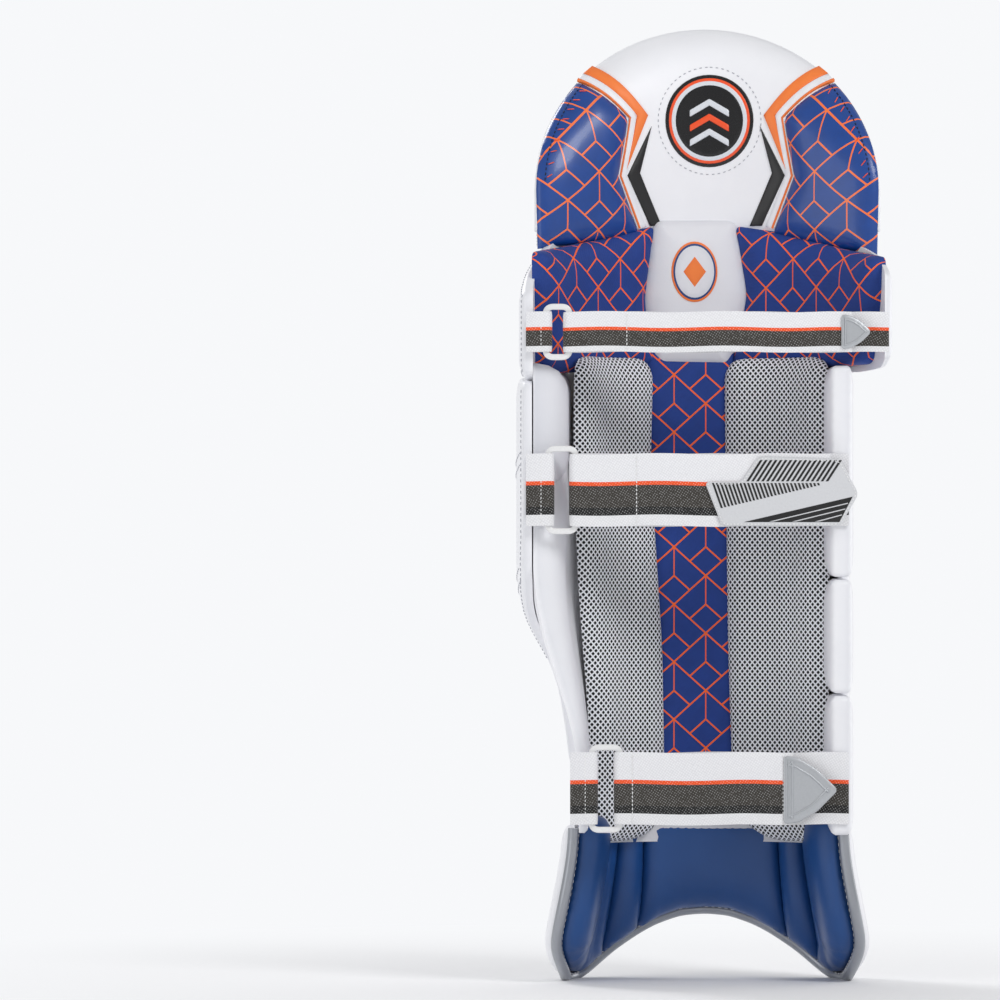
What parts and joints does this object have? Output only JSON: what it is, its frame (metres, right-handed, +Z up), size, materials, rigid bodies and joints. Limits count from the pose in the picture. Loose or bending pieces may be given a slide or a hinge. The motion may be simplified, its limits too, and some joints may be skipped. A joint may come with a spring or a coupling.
{
  "type": "cricket leg pad",
  "caption": "Curved batting leg pad with quilted front channels, horizontal knee rolls, a side wing, padded bolsters and ring-and-flap strap fastenings.",
  "frame": {"origin": "on the line of the wearer's shin, level with the pad's lowest edge", "axes": "+Z up along the shin, front face towards -Y, straps on the +Y side, large wing towards +X"},
  "size_m": [0.281, 0.1847, 0.72],
  "materials": {
    "white_pu": "semi-gloss white PU leather over foam",
    "gloss_blue_pu": "glossy blue PU leather",
    "dark_blue_pu": "satin dark blue PU leather",
    "blue_fabric": "printed woven polyester",
    "mesh": "open spacer mesh",
    "foam": "closed-cell foam",
    "cane": "rattan cane",
    "lining": "cotton lining",
    "silver_pu": "metallic silver PU leather",
    "badge": "moulded badge",
    "white_plastic": "moulded nylon",
    "webbing": "woven polyester webbing",
    "hook": "hook tape",
    "grip": "moulded grip rubber"
  },
  "bodies": {
    "pad": {"upper_front": "white_pu", "upper_core": "foam", "upper_back_centre": "white_pu", "upper_back_left": "gloss_blue_pu", "upper_back_right": "gloss_blue_pu", "top_edging": "white_pu", "knee_roll_upper": "white_pu", "knee_roll_middle": "white_pu", "knee_roll_lower": "white_pu", "knee_wing": "white_pu", "knee_side": "white_pu", "knee_cup": "white_pu", "knee_bolster_left": "blue_fabric", "knee_bolster_right": "blue_fabric", "shin_channel_1": "white_pu", "shin_channel_2": "white_pu", "shin_channel_3": "white_pu", "shin_channel_4": "white_pu", "shin_channel_5": "white_pu", "shin_channel_6": "white_pu", "shin_side_channel": "white_pu", "cane_rods": "cane", "shin_core": "foam", "back_liner": "lining", "wing": "white_pu", "side_roll_upper": "white_pu", "side_roll_middle": "white_pu", "side_roll_lower": "white_pu", "ankle_roll": "white_pu", "mesh_bolster_left": "mesh", "mesh_bolster_right": "mesh", "centre_strip": "blue_fabric", "instep_panel": "white_pu", "instep_lobe_left": "white_pu", "instep_lobe_right": "white_pu", "instep_back_centre": "dark_blue_pu", "instep_back_left": "dark_blue_pu", "instep_back_right": "dark_blue_pu", "foot_edging": "silver_pu", "instep_badge": "badge", "knee_badge": "badge", "upper_badge": "badge", "knee_strap_anchor": "webbing", "knee_strap_base": "webbing", "knee_strap_hook": "hook", "calf_strap_anchor": "webbing", "calf_strap_base": "webbing", "calf_strap_hook": "hook", "ankle_strap_anchor": "webbing", "ankle_strap_base": "webbing", "ankle_strap_hook": "hook"},
    "knee_ring": {"knee_strap_ring": "white_plastic"},
    "knee_flap": {"knee_strap_flap": "webbing", "knee_strap_tab": "grip"},
    "calf_ring": {"calf_strap_ring": "white_plastic"},
    "calf_flap": {"calf_strap_flap": "webbing", "calf_strap_patch": "grip"},
    "ankle_ring": {"ankle_strap_ring": "white_plastic"},
    "ankle_flap": {"ankle_strap_flap": "webbing", "ankle_strap_tab": "grip"}
  },
  "joints": [
    {"name": "knee_ring_rock", "type": "hinge", "parent": "pad", "child": "knee_ring", "pos_m": [0.1225, 0.05, 0.489], "axis": [0, 0, 1], "range_deg": [-1, 1]},
    {"name": "knee_strap_open", "type": "hinge", "parent": "pad", "child": "knee_flap", "pos_m": [0.1047, 0.05, 0.489], "axis": [0, 0, -1], "range_deg": [0, 140]},
    {"name": "calf_ring_rock", "type": "hinge", "parent": "pad", "child": "calf_ring", "pos_m": [0.1209, 0.05, 0.371], "axis": [0, 0, 1], "range_deg": [-1, 1]},
    {"name": "calf_strap_open", "type": "hinge", "parent": "pad", "child": "calf_flap", "pos_m": [0.1001, 0.05, 0.371], "axis": [0, 0, -1], "range_deg": [0, 140]},
    {"name": "ankle_ring_rock", "type": "hinge", "parent": "pad", "child": "ankle_ring", "pos_m": [0.0883, 0.05, 0.148], "axis": [0, 0, 1], "range_deg": [-1, 1]},
    {"name": "ankle_strap_open", "type": "hinge", "parent": "pad", "child": "ankle_flap", "pos_m": [0.0667, 0.05, 0.148], "axis": [0, 0, -1], "range_deg": [0, 140]}
  ]
}
